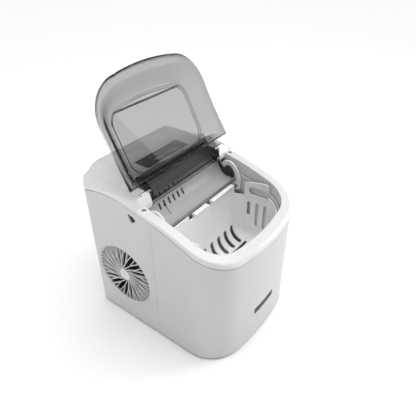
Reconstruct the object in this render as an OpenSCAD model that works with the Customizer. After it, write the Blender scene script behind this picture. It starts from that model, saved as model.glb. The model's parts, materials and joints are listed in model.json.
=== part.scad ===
// Countertop ice maker: bullet-ice machine with a hinged clear lid, a lift-out
// basket, a tilting water tray and an ice shovel over one water tank.
// Units are millimetres. +Z is up, the front faces -Y, and the fan grille is on -X.
// The origin is on the standing surface, at the middle of the casing's footprint.

/* [Casing] */
// Width of the casing, side to side
body_w = 224; // [218:1:232]
// Depth of the casing, front to back
body_d = 262; // [256:1:270]
// Height of the flat top above the standing surface
body_h = 262; // [262:1:266]
// Thickness of the moulded shells
wall = 2.4; // [2:0.1:3]
// Radius of the two front vertical corners
corner_r = 57; // [50:1:60]
// Radius of the bowed front face
bow_r = 391; // [360:1:430]
// Height of the feet
foot_h = 4; // [3:0.5:5]

/* [Top] */
// Width of the flat band round the ice chamber's opening
rim_band = 16; // [14:0.5:17]
// Height of the ledge that runs round the rear hood
ledge_z = 250; // [249:0.5:251]
// Y position of the lid hinge axis
hinge_y = 23.4; // [23:0.1:24]
// Z position of the lid hinge axis
hinge_z = 250.8; // [250.5:0.1:251.2]
// Angle between the lid's closed and open positions
lid_swing = 136; // [134:0.5:136.5]

/* [Basket] */
// Height of the basket floor's underside
basket_z = 92; // [88:1:96]
// Height of the basket's rear edge
basket_top = 194; // [190:1:196]
// Half width of the basket at its top
basket_half = 91.5; // [88:0.5:91.5]

/* [Cooling] */
// Y position of the fan axis
fan_y = 61; // [60:1:63]
// Z position of the fan axis
fan_z = 95; // [94:1:97]
// Outer radius of the fan grille
grille_r = 55; // [50:1:56]

/* [Fits] */
// Radial clearance of a pin that turns in its hole
run_fit = 0.05; // [0.03:0.01:0.09]
// Clearance between separate parts that don't touch
gap = 0.5; // [0.4:0.05:0.6]

/* [Hidden] */
$fn = 48;
half_w = body_w / 2;
half_d = body_d / 2;
bow_y = bow_r - half_d;
corner_x = half_w - corner_r;
corner_y = bow_y - sqrt(pow(bow_r - corner_r, 2) - corner_x * corner_x);
tangent_a = atan2(corner_x, bow_y - corner_y);
rear_r = 12;
seam_y = -7;
plate_in = 1.4;
plate_z = 60.5;
gland_x = -70;
screw_x = 103;
screw_y = 10.5;
// Heights of the seam under the top cover, from the front to the back
seam_line = [[-half_d, 181], [-100, 194], [-60, 211.5], [-20, 224.5], [16, 232.5], [62, 240],
    [98, 238], [half_d, 229.5]];
// Heights of the band round the opening, from the front to the hinge pillars
rim_line = [[-half_d, 189], [-100, 203], [-60, 218.5], [-20, 230.5], [16, 238.5]];
lid_edge_y = [-128, 13.2];
lid_edge_z = [198.4, 244.5];
lid_slope = atan2(lid_edge_z[1] - lid_edge_z[0], lid_edge_y[1] - lid_edge_y[0]);
tongue_half = 80;
tongue_y = 38;
hood_y = 48;
tray_y = 50;
compressor_x = 42;
compressor_y = 58;
tray_z = 214;
shovel_y = -14;
shovel_z = 189;
shovel_half = 91;
basin_half = 78;
basket_rear_y = -8;
rear_half = 82.5;
taper_y = -50;
slot_half = 4;
button_x = 14;
button_y = 61.5;
gland_z = 16;
drain_x = 60;
drain_z = 16;

// Height at y along a list of stations, as a smooth curve through them
function slope_at(p, i) = i == 0 ? (p[1][1] - p[0][1]) / (p[1][0] - p[0][0])
    : i == len(p) - 1 ? (p[i][1] - p[i - 1][1]) / (p[i][0] - p[i - 1][0])
    : (p[i + 1][1] - p[i - 1][1]) / (p[i + 1][0] - p[i - 1][0]);
function hermite(p, i, u, h) = p[i][1] * (1 + 2 * u) * (1 - u) * (1 - u)
    + slope_at(p, i) * h * u * (1 - u) * (1 - u)
    + p[i + 1][1] * u * u * (3 - 2 * u) - slope_at(p, i + 1) * h * u * u * (1 - u);
function span(p, y, i = 0) = i >= len(p) - 2 || y <= p[i + 1][0] ? i : span(p, y, i + 1);
function height_at(p, y) = let (i = span(p, y), h = p[i + 1][0] - p[i][0])
    hermite(p, i, (y - p[i][0]) / h, h);
function lid_edge_at(y) = lid_edge_z[0] + (y - lid_edge_y[0]) * tan(lid_slope);

// Points of an arc
function arc(cx, cy, r, a0, a1, n) = [for (i = [0:n]) let (a = a0 + (a1 - a0) * i / n)
    [cx + r * cos(a), cy + r * sin(a)]];

// Plan outline of the casing, moved inwards by inset
module outline(inset = 0) {
    r = max(rear_r - inset, 1);
    x = half_w - inset - r;
    y = half_d - inset - r;
    polygon(concat(
        arc(corner_x, corner_y, corner_r - inset, 0, -90 + tangent_a, 10),
        arc(0, bow_y, bow_r - inset, -90 + tangent_a, -90 - tangent_a, 8),
        arc(-corner_x, corner_y, corner_r - inset, -90 - tangent_a, -180, 10),
        arc(-x, y, r, 180, 90, 4),
        arc(x, y, r, 90, 0, 4)));
}

// Solid under a height line, from y0 to y1, lifted by dz
module under_line(p, y0, y1, dz = 0, n = 12) {
    rotate([90, 0, 90])
        linear_extrude(body_w + 20, center = true)
            polygon(concat([[y0, 0]],
                [for (i = [0:n]) let (y = y0 + (y1 - y0) * i / n) [y, height_at(p, y) + dz]],
                [[y1, 0]]));
}

// Side profile of points [y, z], extruded across the width w
module side_extrude(points, w, x = 0) {
    translate([x, 0, 0])
        rotate([90, 0, 90])
            linear_extrude(w, center = true)
                polygon(points);
}

// Upright box given by its lowest and highest corners
module box(a, b) {
    translate(a)
        cube(b - a);
}

// Cylinder of length l along +X from point p
module rod_x(p, r, l) {
    translate(p)
        rotate([0, 90, 0])
            cylinder(r = r, h = l);
}

// Cylinder of length l along +Y from point p
module rod_y(p, r, l) {
    translate(p)
        rotate([-90, 0, 0])
            cylinder(r = r, h = l);
}

// Turns its children about an axis along X through [y, z]
module swing(y, z, a) {
    translate([0, y, z])
        rotate([a, 0, 0])
            translate([0, -y, -z])
                children();
}

// Row of slots that run along Z, through a wall that faces Y
module slot_row(x0, count, pitch, y, z0, z1, w, depth) {
    for (i = [0:count - 1])
        translate([x0 + i * pitch, y, 0])
            box([-w / 2, -depth / 2, z0], [w / 2, depth / 2, z1]);
}

// ---- Casing ----

module base_pan() {
    color("gainsboro")
        difference() {
            union() {
                translate([0, 0, foot_h])
                    linear_extrude(3)
                        outline(wall + gap);
                translate([0, 0, foot_h])
                    linear_extrude(14)
                        difference() {
                            outline(wall + gap);
                            outline(2 * wall + gap);
                        }
            }
            for (i = [0:5])
                box([-60 + i * 12, 30, 0], [-54 + i * 12, 90, 12]);
            rod_y([drain_x, half_d - 12, drain_z], 7.5, 20);
            rod_y([gland_x, half_d - 12, gland_z], 7.5, 20);
        }
}

module feet() {
    color("dimgray")
        for (x = [-1, 1], y = [-1, 1])
            translate([x * 78, y * 84 + 8, 0])
                difference() {
                    cylinder(r1 = 8, r2 = 9, h = foot_h);
                    translate([0, 0, -1])
                        cylinder(r = 2, h = 2.5);
                }
}

// Wrap-round shell wall between two y positions, up to the seam
module shell_wall(y0, y1) {
    intersection() {
        linear_extrude(body_h)
            difference() {
                outline(0);
                outline(wall);
            }
        under_line(seam_line, y0, y1, 0, round((y1 - y0) / 12));
        box([-half_w - 1, y0, foot_h], [half_w + 1, y1, body_h]);
    }
}

module front_shell() {
    color("whitesmoke")
        difference() {
            shell_wall(-half_d, seam_y - 0.3);
            // Shallow recess for the nameplate
            intersection() {
                linear_extrude(body_h)
                    difference() {
                        outline(-1);
                        outline(plate_in);
                    }
                translate([0, -half_d, plate_z])
                    cube([54, 8, 12], center = true);
            }
        }
}

module rear_housing() {
    color("whitesmoke")
        difference() {
            union() {
                shell_wall(seam_y, half_d);
                // Bosses that take the rim screws
                for (x = [-1, 1])
                    translate([x * (screw_x + 3), screw_y, 217])
                        cube([10, 10, 20], center = true);
            }
            for (x = [-1, 1])
                translate([x * screw_x, screw_y, 212])
                    cylinder(r = 1.5, h = 20);
            rod_x([-half_w - 1, fan_y, fan_z], grille_r + 0.3, wall + 2);
            // Breather opening: three round-ended slots that overlap
            for (a = [-30, 15, 50])
                translate([-half_w, 27.5, 219.5])
                    rotate([a, 0, 0])
                        box([-2, -1.6, -4.5], [4, 1.6, 4.5]);
            // Cooling slots in the right side and the back
            for (i = [0:10], j = [0:1])
                translate([half_w, 22 + i * 9, 60 + j * 46])
                    cube([8, 4, 36], center = true);
            slot_row(-58, 13, 9, half_d, 62, 126, 4, 8);
            rod_y([drain_x, half_d - 5, drain_z], 7.3, 10);
            rod_y([gland_x, half_d - 5, gland_z], 7.3, 10);
            for (x = [-1, 1], z = [32, 205])
                rod_y([x * 92, half_d - 5, z], 3.3, 10);
        }
}

// Rounded block that rises from the ledge to the hood's flat top
module hood_block(inset) {
    hull() {
        box([-92 + inset, hood_y + inset, ledge_z - 8], [92 - inset, half_d - 3 - inset, ledge_z + 2 - inset]);
        box([-80 + inset, hood_y + inset, body_h - 5], [80 - inset, half_d - 3 - inset, body_h - inset]);
    }
}

module top_cover() {
    color("white")
        difference() {
            union() {
                // Sloping band round the opening, with its outer skirt
                intersection() {
                    linear_extrude(body_h)
                        difference() {
                            outline(0);
                            outline(rim_band);
                        }
                    difference() {
                        under_line(rim_line, -half_d, 16);
                        under_line(rim_line, -half_d - 1, 17, -3);
                    }
                }
                intersection() {
                    linear_extrude(body_h)
                        difference() {
                            outline(0);
                            outline(wall);
                        }
                    difference() {
                        under_line(rim_line, -half_d, 16, -0.2);
                        under_line(seam_line, -half_d - 1, 17, 0.3);
                    }
                }
                // Collar that hangs from the band's inner edge
                intersection() {
                    linear_extrude(body_h)
                        difference() {
                            outline(rim_band - 2);
                            outline(rim_band);
                        }
                    difference() {
                        under_line(rim_line, -half_d, 16, -0.2);
                        under_line(rim_line, -half_d - 1, 17, -20);
                    }
                }
                // Rear box: skirt, ledge and hood
                difference() {
                    union() {
                        intersection() {
                            linear_extrude(ledge_z)
                                outline(0);
                            side_extrude([[15, 200], [15, 236.5], [19.5, ledge_z], [half_d, ledge_z],
                                [half_d, 200]], body_w);
                        }
                        hood_block(0);
                        // Bosses round the hinge pins
                        for (x = [-1, 1])
                            rod_x([x * 86.5 - 6, hinge_y, hinge_z], 4, 12);
                    }
                    intersection() {
                        translate([0, 0, -1])
                            linear_extrude(ledge_z + 1 - wall)
                                outline(wall);
                        side_extrude([[17.4, 0], [17.4, 235], [21.5, ledge_z - wall],
                            [half_d, ledge_z - wall], [half_d, 0]], body_w);
                    }
                    hood_block(wall);
                    under_line(seam_line, 12, half_d + 1, 0.3);
                    // Slot for the lid's tongue
                    box([-tongue_half - gap, 10, 200], [tongue_half + gap, hood_y, body_h + 1]);
                    for (x = [-1, 1])
                        rod_x([x * 88 - 8, hinge_y, hinge_z], 2.5, 16);
                    // Recess for the control panel
                    box([-47, 53, body_h - 1.2], [47, 81, body_h + 1]);
                    for (x = [-1, 1])
                        translate([x * button_x, button_y, body_h])
                            cube([20, 9, 12], center = true);
                    for (i = [-2:2])
                        translate([i * 20.3, 73.5, body_h - 6])
                            cylinder(r = 2.2, h = 8);
                }
                // Pillar inner walls and the wall behind the tongue
                for (x = [-1, 1])
                    difference() {
                        side_extrude([[17, 234], [17, 241], [20.5, ledge_z - 1], [hood_y + 1, ledge_z - 1],
                            [hood_y + 1, 231]], 2.4, x * (tongue_half + gap + 1.2));
                        rod_x([x * 82 - 3, hinge_y, hinge_z], 2.5, 6);
                    }
                box([-tongue_half - 2, hood_y, 240], [tongue_half + 2, hood_y + wall, body_h - 1]);
            }
            // Stepped holes for the rim screws
            for (x = [-1, 1])
                translate([x * screw_x, screw_y, 0]) {
                    translate([0, 0, 200])
                        cylinder(r = 1.9, h = 36);
                    translate([0, 0, 235.2])
                        cylinder(r = 3.4, h = 9);
                }
        }
}

module rim_screws() {
    color("silver")
        for (x = [-1, 1])
            translate([x * screw_x, screw_y, 0]) {
                translate([0, 0, 214])
                    cylinder(r = 1.5, h = 21.4);
                translate([0, 0, 235.3])
                    cylinder(r = 3, h = 1.4);
            }
}

module housing_screws() {
    color("silver")
        for (x = [-1, 1], z = [32, 205]) {
            rod_y([x * 92, half_d - 12, z], 1.75, 10);
            rod_y([x * 92, half_d - 2, z], 3.2, 1.9);
        }
}

module nameplate() {
    color("dimgray")
        intersection() {
            linear_extrude(body_h)
                difference() {
                    outline(0.3);
                    outline(plate_in);
                }
            translate([0, -half_d, plate_z])
                cube([53.4, 8, 11.4], center = true);
        }
}

// ---- Lid, drawn closed and then swung open ----

// Plan outline of the lid, with its tongue between the hinge pillars
module lid_plan(inset) {
    intersection() {
        outline(inset);
        translate([-half_w, -half_d])
            square([body_w, half_d + lid_edge_y[1]]);
    }
}

// Shoulders that rise from the lid's edge to its raised flat
module lid_dome(inset) {
    hull() {
        intersection() {
            linear_extrude(body_h)
                lid_plan(2.5 + inset);
            side_extrude([[-half_d, lid_edge_at(-half_d) - 1], [lid_edge_y[1], lid_edge_at(lid_edge_y[1]) - 1],
                [lid_edge_y[1], lid_edge_at(lid_edge_y[1])], [-half_d, lid_edge_at(-half_d)]], body_w);
        }
        intersection() {
            linear_extrude(body_h + 5)
                offset(r = 20)
                    offset(delta = -20)
                        intersection() {
                            outline(34 + inset);
                            translate([-half_w, -103])
                                square([body_w, 99]);
                        }
            side_extrude([[-104, 225.4 - inset], [-3, 259.9 - inset], [-3, 258.9 - inset],
                [-104, 224.4 - inset]], body_w);
        }
    }
}

// Side profile of the tongue between the pillars
module lid_tongue(inset) {
    side_extrude([[-4, 259 - inset], [tongue_y - inset, 261 - inset], [tongue_y - inset, 255],
        [31 - inset, 246.5 + inset], [12, 241 + inset], [6, 252 + inset], [-4, 256]],
        2 * (tongue_half - inset));
}

module lid_closed() {
    difference() {
        union() {
            difference() {
                lid_dome(0);
                side_extrude([[4, body_h + 9], [lid_edge_y[1] + 9, body_h + 9], [lid_edge_y[1] + 9, 246],
                    [lid_edge_y[1], 246]], body_w);
            }
            lid_tongue(0);
            intersection() {
                linear_extrude(body_h)
                    lid_plan(2.5);
                difference() {
                    side_extrude([[-half_d, lid_edge_at(-half_d)], [-half_d, 150],
                        [lid_edge_y[1], 150], [lid_edge_y[1], lid_edge_at(lid_edge_y[1])]], body_w);
                    under_line(rim_line, -half_d - 1, 16, gap);
                }
            }
        }
        difference() {
            lid_dome(2.6);
            side_extrude([[-4, body_h + 9], [lid_edge_y[1] + 9, body_h + 9], [lid_edge_y[1] + 9, 236],
                [lid_edge_y[1] - 2.6, 236], [lid_edge_y[1] - 2.6, 243]], body_w);
        }
        side_extrude([[-4, 256], [8, 256.4], [tongue_y - 3, 257.6], [tongue_y - 3, 200], [-4, 200]],
            2 * tongue_half - 6);
        intersection() {
            linear_extrude(body_h)
                lid_plan(5);
            side_extrude([[-half_d, lid_edge_at(-half_d) + 0.2], [-half_d, 150], [10.6, 150],
                [10.6, lid_edge_at(10.6) + 0.2]], body_w);
        }
        rod_x([-half_w, hinge_y, hinge_z], 2.5 + run_fit, body_w);
    }
}

module lid() {
    color([0.35, 0.35, 0.36, 0.5])
        swing(hinge_y, hinge_z, -lid_swing)
            lid_closed();
}

module hinge_pins() {
    color("silver")
        for (x = [-1, 1])
            rod_x([x * 85.5 - 9.5, hinge_y, hinge_z], 2.5, 19);
}

// ---- Controls ----

module control_panel() {
    color("dimgray")
        difference() {
            box([-46.7, 53.3, body_h - 1.2], [46.7, 80.7, body_h - 0.2]);
            for (x = [-1, 1])
                translate([x * button_x, button_y, body_h])
                    cube([18.6, 7.6, 12], center = true);
            for (i = [-2:2])
                translate([i * 20.3, 73.5, body_h - 6])
                    cylinder(r = 2, h = 8);
        }
}

module push_button(x) {
    color("gray")
        translate([x, button_y, 0]) {
            box([-9, -3.5, body_h - 4], [9, 3.5, body_h + 0.6]);
            box([-3, -2.5, body_h - 8], [3, 2.5, body_h - 4]);
        }
}

module button_springs() {
    color("silver")
        for (x = [-1, 1])
            translate([x * button_x, button_y, body_h - 13.4])
                difference() {
                    cylinder(r = 3.4, h = 4.4);
                    translate([0, 0, -1])
                        cylinder(r = 2.4, h = 7);
                }
}

module indicator_lenses() {
    color("lightgray")
        for (i = [-2:2])
            translate([i * 20.3, 73.5, body_h - 6])
                cylinder(r = 1.9, h = 6);
}

module control_board() {
    color("darkgreen")
        difference() {
            union() {
                box([-50, 52, body_h - 15], [50, 84, body_h - 13.4]);
                for (i = [-2:2])
                    translate([i * 20.3, 73.5, body_h - 13.4])
                        cylinder(r = 1.5, h = 7);
                box([-42, 56, body_h - 13.4], [-30, 68, body_h - 11]);
                box([32, 56, body_h - 13.4], [44, 64, body_h - 10]);
            }
            for (x = [-1, 1], y = [55, 81])
                translate([x * 47, y, body_h - 16])
                    cylinder(r = 1.5, h = 4);
        }
}

// ---- Tank, basket and ice handling ----

module water_tank() {
    color("white")
        difference() {
            union() {
                // Main tank round the basket, with its sloping top edge
                intersection() {
                    linear_extrude(body_h)
                        outline(rim_band + 0.8);
                    side_extrude([[-half_d, 50], [-1, 50], [-1, 165], [18, 165], [18, 196], [-5, 196],
                        [-8, 213], [-20, 210], [-60, 199], [-100, 184], [-half_d, 172]], body_w);
                }
                // Narrower basin under the tray
                box([-basin_half, 0, 165], [basin_half, 84, 190]);
            }
            intersection() {
                translate([0, 0, 53])
                    linear_extrude(body_h)
                        outline(rim_band + 0.8 + wall);
                side_extrude([[-half_d, 53], [-4, 53], [-4, 168], [15.6, 168], [15.6, 240], [-half_d, 240]],
                    body_w);
            }
            box([wall - basin_half, 0, 168], [basin_half - wall, 84 - wall, 240]);
            // Sump hole for the pump, and the holes for the drain, the hose and the shovel's pins
            translate([40, -20, 45])
                cylinder(r = 8, h = 12);
            translate([75, -18, 45])
                cylinder(r = 2.5, h = 12);
            rod_x([90, 10, 190], 2.5, 12);
            rod_x([-half_w, shovel_y, shovel_z], 2.5, body_w);
        }
}

// Basket outline in plan, moved in by t: it tapers to the rear, to clear the shovel's arms
module basket_plan(t, back) {
    intersection() {
        outline(half_w - basket_half + t);
        polygon([[-half_w, -half_d], [half_w, -half_d], [basket_half - t, taper_y], [rear_half - t, back],
            [t - rear_half, back], [t - basket_half, taper_y]]);
    }
}

module basket_shape(t) {
    intersection() {
        linear_extrude(body_h)
            basket_plan(t, basket_rear_y - t);
        side_extrude([[-half_d, basket_z + t], [-48, basket_z + t], [-36, basket_z + 4 + t],
            [-26, basket_z + 14 + t], [-20 - t, basket_z + 30], [basket_rear_y - t, basket_top + 1],
            [basket_rear_y - t, body_h], [-half_d, body_h]], body_w);
    }
}

module ice_basket() {
    color("white")
        difference() {
            basket_shape(0);
            basket_shape(2);
            // Top edge: level at the back, with a step down towards the front
            side_extrude([[-half_d, 178], [-76, 186], [-72, 200], [-20, 204], [-19, basket_top],
                [10, basket_top], [10, body_h + 9], [-half_d, body_h + 9]], body_w);
            // Notches in the rear edge
            for (x = [-29, 15])
                translate([x, basket_rear_y, basket_top])
                    cube([9, 20, 14], center = true);
            // Room for the bosses of the shovel's arms
            for (x = [-1, 1])
                translate([x * (rear_half + 7), -16, 200])
                    cube([18, 32, 44], center = true);
            // Drain slots from the rear wall to the floor
            for (i = [-3.5:3.5])
                translate([i * 19.2, 0, 0])
                    box([-slot_half, -40, basket_z - 1], [slot_half, -10, basket_z + 28]);
            box([-26, -64, basket_z - 1], [26, -59, basket_z + 4]);
            // Upright slots and the finger hold in the side walls
            for (x = [-1, 1]) {
                for (i = [0:2])
                    translate([x * basket_half, -41 - i * 15, 0])
                        box([-6, -3, i == 0 ? 141 : 121], [6, 3, 168]);
                hull()
                    for (y = [-46, -68])
                        rod_x([x * basket_half - 7, y, 190], 7, 14);
            }
        }
}

// Side profile of a curved strip between two radii about [y, z]
module curved_strip(y, z, r0, r1, a0, a1, w, x) {
    side_extrude(concat([for (i = [0:8]) let (a = a0 + (a1 - a0) * i / 8) [y + r1 * cos(a), z + r1 * sin(a)]],
        [for (i = [8:-1:0]) let (a = a0 + (a1 - a0) * i / 8) [y + r0 * cos(a), z + r0 * sin(a)]]), w, x);
}

module ice_shovel() {
    color("gainsboro")
        difference() {
            union() {
                // Concave plate that pushes the ice forward
                curved_strip(-6, 229, 29, 31.5, -90, -8, 2 * shovel_half - 8, 0);
                side_extrude([[-6, 197.5], [-5.4, 196], [-5.4, 184], [-3, 184], [-3, 200], [-6, 200]],
                    2 * shovel_half - 8);
                // Side arms that curve up from the pivot bosses
                for (x = [-1, 1]) {
                    curved_strip(24, 196, 40, 47, 126, 176, 4, x * (shovel_half - 2));
                    side_extrude([[-22.5, 200], [-22.5, 190], [-6, 184], [2, 199], [-15.5, 200]], 4,
                        x * (shovel_half - 2));
                    rod_x([x * (shovel_half - 2) - 2, shovel_y, shovel_z], 8, 4);
                    side_extrude([[-14, 210], [-9, 220], [23, 217.5], [20, 210]], 4, x * (shovel_half - 2));
                    side_extrude([[-16, 196], [-14, 212], [18, 213], [4, 199]], 4, x * (shovel_half - 2));
                }
            }
            rod_x([-half_w, shovel_y, shovel_z], 2.5 + run_fit, body_w);
            // Comb slits along the top
            for (i = [-6:-1])
                translate([i * 10.3, 22, 216.3])
                    cube([3.2, 12, 10], center = true);
        }
}

module shovel_pins() {
    color("silver")
        for (x = [-1, 1])
            rod_x([x * 91 - 4, shovel_y, shovel_z], 2.5, 8);
}

module water_tray() {
    color("gainsboro")
        difference() {
            rod_x([-74, tray_y, tray_z], 26, 148);
            rod_x([-72, tray_y, tray_z], 24, 144);
            box([-90, tray_y - 40, tray_z + 4], [90, tray_y + 40, tray_z + 60]);
            box([-60, tray_y - 30, tray_z - 2], [60, tray_y - 20, tray_z + 10]);
            rod_x([-half_w, tray_y, tray_z], 3, body_w);
        }
}

module tray_shaft() {
    color("silver") {
        rod_x([71.5, tray_y, tray_z], 3, 15);
        rod_x([-87.5, tray_y, tray_z], 3, 16);
    }
}

module tray_motor() {
    color("silver")
        difference() {
            union() {
                rod_x([79, tray_y, tray_z], 15, 9);
                rod_x([88, tray_y, tray_z], 20, 14);
            }
            rod_x([78, tray_y, tray_z], 3 + run_fit, 9);
        }
}

module inner_frame() {
    color("gainsboro")
        difference() {
            union() {
                box([-88, 30, 197], [-84.5, 80, 242]);
                box([83.5, 30, 197], [87, 80, 242]);
                box([-88, 66, 239], [87, 80, 242]);
            }
            rod_x([-half_w, tray_y, tray_z], 3 + run_fit, 60);
            rod_x([80, tray_y, tray_z], 15.1, 20);
            for (i = [-3:3])
                box([i * 18 - 5, 69, 230], [i * 18 + 5, 77, 250]);
        }
}

module evaporator() {
    color("peru") {
        for (i = [-4:4])
            translate([i * 15, tray_y, 199]) {
                cylinder(r = 4, h = 27);
                sphere(r = 4);
            }
        rod_x([-68, tray_y, 231], 5.5, 136);
    }
}

// Curved cover in front of the evaporator, round the swing of the lid's tongue
module evaporator_cover() {
    color("gainsboro")
        difference() {
            side_extrude(concat([[28.8, 220], [26.8, 220], [27.4, 226]],
                [for (a = [-68:8:-4]) [hinge_y + 19.3 * cos(a), hinge_z + 19.3 * sin(a)]],
                [[hood_y - 0.4, hinge_z - 1], [hood_y - 0.4, hinge_z - 3]],
                [for (a = [-8:-8:-64]) [hinge_y + 21.3 * cos(a), hinge_z + 21.3 * sin(a)]],
                [[29.4, 226]]), 2 * tongue_half - 1);
            for (i = [-6:-1])
                translate([i * 10.3, 28, 229])
                    cube([3.2, 14, 7], center = true);
        }
}

module ice_full_sensor() {
    color("gray") {
        box([-92.6, -33, 170], [-90.4, -26, 178]);
        rod_x([-90.5, -29.5, 174], 2, 1.6);
    }
}

// ---- Cooling system ----

module compressor_mounts() {
    color("dimgray")
        for (a = [0:120:240])
            translate([compressor_x + 38 * cos(a), compressor_y + 38 * sin(a), foot_h + 3])
                cylinder(r = 6, h = 8);
}

module compressor() {
    color("black") {
        for (a = [0:120:240])
            translate([compressor_x + 38 * cos(a), compressor_y + 38 * sin(a), foot_h + 11])
                cylinder(r = 8, h = 2);
        translate([compressor_x, compressor_y, foot_h + 11])
            cylinder(r = 40, h = 2);
        translate([compressor_x, compressor_y, foot_h + 13])
            cylinder(r = 34, h = 86);
        translate([compressor_x, compressor_y, foot_h + 99])
            intersection() {
                sphere(r = 34);
                cylinder(r = 34, h = 22);
            }
        box([compressor_x - 10, compressor_y - 47, 60], [compressor_x + 10, compressor_y - 28, 90]);
    }
}

module condenser() {
    color("silver") {
        for (i = [0:13])
            box([-70, 12 + i * 7.5, 44], [-48, 12.8 + i * 7.5, 146]);
        for (k = [0:4])
            rod_y([-59, 9, 54 + k * 20], 3.5, 104);
        box([-70, 8.5, 40], [-48, 9.5, 150]);
        box([-70, 112, 40], [-48, 113, 150]);
    }
}

module fan_shroud() {
    color("gray")
        difference() {
            box([-84, fan_y - 58, fan_z - 56], [-71, fan_y + 58, fan_z + 56]);
            rod_x([-85, fan_y, fan_z], 50, 20);
        }
}

module fan_motor() {
    color("dimgray") {
        rod_x([-82, fan_y, fan_z], 16, 10);
        rod_x([-91, fan_y, fan_z], 2, 9);
        for (a = [45:90:315])
            translate([0, fan_y, fan_z])
                rotate([a, 0, 0])
                    box([-74, 14, -2], [-72, 49.7, 2]);
    }
}

module fan_blades() {
    color("dimgray")
        difference() {
            union() {
                rod_x([-100, fan_y, fan_z], 14, 16);
                for (a = [0:360 / 7:359])
                    translate([-92, fan_y, fan_z])
                        rotate([a, 0, 0])
                            rotate([0, 28, 0])
                                box([-1, 12, -15], [1, 46, 15]);
            }
            rod_x([-96, fan_y, fan_z], 2 + run_fit, 20);
            rod_x([-92, fan_y, fan_z], 11, 20);
        }
}

// Ring of slanted vanes of length l that start at radius r
module fan_vanes(count, r, l) {
    for (i = [0:count - 1])
        translate([-half_w, fan_y, fan_z])
            rotate([i * 360 / count, 0, 0])
                translate([0, r, 0])
                    rotate([24, 0, 0])
                        box([0.4, 0, -0.8], [3.8, l, 0.8]);
}

module fan_grille() {
    color("white")
        union() {
            for (r = [[grille_r, grille_r - 3], [31.5, 29], [14, 0]])
                difference() {
                    rod_x([-half_w, fan_y, fan_z], r[0], 4);
                    if (r[1] > 0)
                        rod_x([-half_w - 1, fan_y, fan_z], r[1], 6);
                }
            fan_vanes(40, 30, 24.5);
            fan_vanes(20, 13, 18);
        }
}

module drier_filter() {
    color("peru")
        translate([-26, 112, 60]) {
            cylinder(r = 8, h = 50);
            translate([0, 0, 50])
                cylinder(r1 = 8, r2 = 3, h = 8);
            translate([0, 0, -8])
                cylinder(r1 = 3, r2 = 8, h = 8);
        }
}

module solenoid_valve() {
    color("silver") {
        box([-36, 60, 120], [-16, 82, 142]);
        translate([-26, 71, 108])
            cylinder(r = 7, h = 12);
        rod_y([-26, 55, 131], 4, 5);
    }
}

// Elbowed tube through a list of points
module tube_run(points, r) {
    for (i = [0:len(points) - 2])
        hull()
            for (p = [points[i], points[i + 1]])
                translate(p)
                    sphere(r = r, $fn = 12);
}

module refrigerant_tubes() {
    color("peru") {
        tube_run([[20, 90, 96], [20, 108, 150], [20, 90, 225], [64, 85, 236], [68, 85, 246.5],
            [66, 53.3, 246.5], [64, 53.2, 238.8]], 2.8);
        tube_run([[-44, 100, 134], [-10, 100, 150], [-10, 96, 226], [-64, 85, 236], [-66, 85, 246],
            [-65, 53, 246], [-64, 52.8, 238.3]], 2.2);
    }
}

module water_pump() {
    color("gray") {
        translate([40, -20, 32])
            cylinder(r = 15, h = 17.6);
        translate([40, -20, 49.6])
            cylinder(r = 7.6, h = 4);
        box([44, -36, 34], [52, -32, 44]);
    }
}

module pump_hose() {
    color("lightgray")
        tube_run([[56, -34, 39], [76, -34, 39], [101, -16, 42], [101, 8, 60], [101, 10, 190]], 3.5);
}

module drain_hose() {
    color("lightgray")
        tube_run([[75, -18, 45.8], [99, 0, 34], [99, 84, 22], [drain_x, 100.8, drain_z]], 4);
}

module drain_spout() {
    color("white")
        difference() {
            union() {
                rod_y([drain_x, half_d - 26, drain_z], 7, 22);
                rod_y([drain_x, half_d - 26, drain_z], 8.5, 5.5);
            }
            rod_y([drain_x, half_d - 27, drain_z], 4.5, 30);
        }
}

module drain_plug() {
    color("gray")
        difference() {
            union() {
                rod_y([drain_x, half_d - 14, drain_z], 4.45, 11);
                rod_y([drain_x, half_d - 3.7, drain_z], 6.8, 3.6);
            }
            rod_y([drain_x, half_d - 15, drain_z], 2, 9);
        }
}

module power_inlet_gland() {
    color("dimgray")
        difference() {
            union() {
                rod_y([gland_x, half_d - 12, gland_z], 7, 11.9);
                rod_y([gland_x, half_d - 9.7, gland_z], 9, 4);
            }
            rod_y([gland_x, half_d - 11, gland_z], 3.6, 20);
        }
}

base_pan();
feet();
rear_housing();
front_shell();
top_cover();
water_tank();
lid();
hinge_pins();
control_panel();
push_button(-button_x);  // left_button
push_button(button_x);  // right_button
button_springs();
indicator_lenses();
control_board();
ice_basket();
ice_shovel();
shovel_pins();
water_tray();
tray_shaft();
tray_motor();
evaporator();
evaporator_cover();
ice_full_sensor();
inner_frame();
compressor();
compressor_mounts();
condenser();
fan_grille();
fan_shroud();
fan_motor();
fan_blades();
drier_filter();
solenoid_valve();
refrigerant_tubes();
water_pump();
pump_hose();
drain_hose();
drain_spout();
drain_plug();
power_inlet_gland();
nameplate();
rim_screws();
housing_screws();
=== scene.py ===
"""Countertop ice maker: the looks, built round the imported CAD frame.

Lengths in the modelling functions are millimetres in the CAD frame, and become
metres when a mesh is made. The front faces -Y and the fan grille is on -X.
"""
import json
import math

import bmesh
import bpy
from mathutils import Matrix, Vector


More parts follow.
